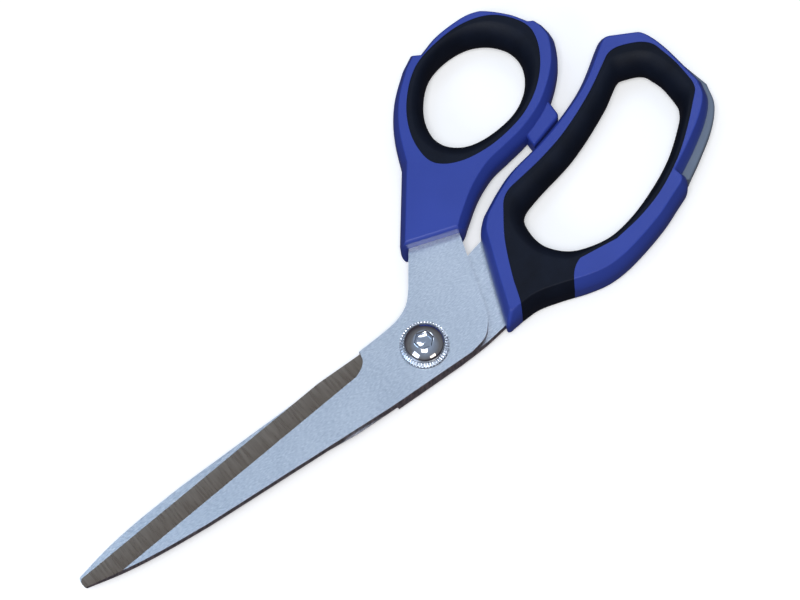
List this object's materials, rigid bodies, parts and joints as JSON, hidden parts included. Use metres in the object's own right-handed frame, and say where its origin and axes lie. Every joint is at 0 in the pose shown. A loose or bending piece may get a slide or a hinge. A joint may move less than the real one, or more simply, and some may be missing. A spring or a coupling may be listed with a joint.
{
  "type": "office scissors",
  "caption": "Long straight-bladed scissors with two soft-lined moulded handles, a small thumb loop and a large finger loop, joined by a socket-head pivot screw.",
  "frame": {"origin": "on the pivot axis, at the flat end of the pivot screw, in the plane that the closed scissors rest on", "axes": "+X along the closed blades towards the tips, +Y towards the side of the finger loop and the front blade's spine, +Z along the pivot axis towards the screw head"},
  "size_m": [0.2512, 0.1014, 0.0153],
  "materials": {
    "satin_steel": "cross-brushed stainless blade steel with a darker ground bevel",
    "chrome": "polished plated screw and lock washer",
    "plain_steel": "plain turned and stamped steel",
    "blue_shell": "satin moulded blue plastic",
    "black_grip": "matt soft-touch moulded grip",
    "grey_rim": "matt moulded grey plastic",
    "white_nylon": "natural nylon"
  },
  "bodies": {
    "front_half": {"front_blade": "satin_steel", "thumb_shell": "blue_shell", "thumb_soft_grip": "black_grip", "thumb_back_rim": "grey_rim", "pivot_screw": "chrome", "lock_washer": "chrome", "pivot_bush": "plain_steel", "slip_washer": "white_nylon", "spring_washer": "plain_steel", "lock_nut": "plain_steel", "nut_insert": "white_nylon"},
    "rear_half": {"rear_blade": "satin_steel", "finger_shell": "blue_shell", "finger_soft_grip": "black_grip", "finger_back_rim": "grey_rim"}
  },
  "joints": [
    {"name": "blade_pivot", "type": "hinge", "parent": "front_half", "child": "rear_half", "pos_m": [0, 0, 0.0075], "axis": [0, 0, -1], "range_deg": [0, 90]}
  ]
}
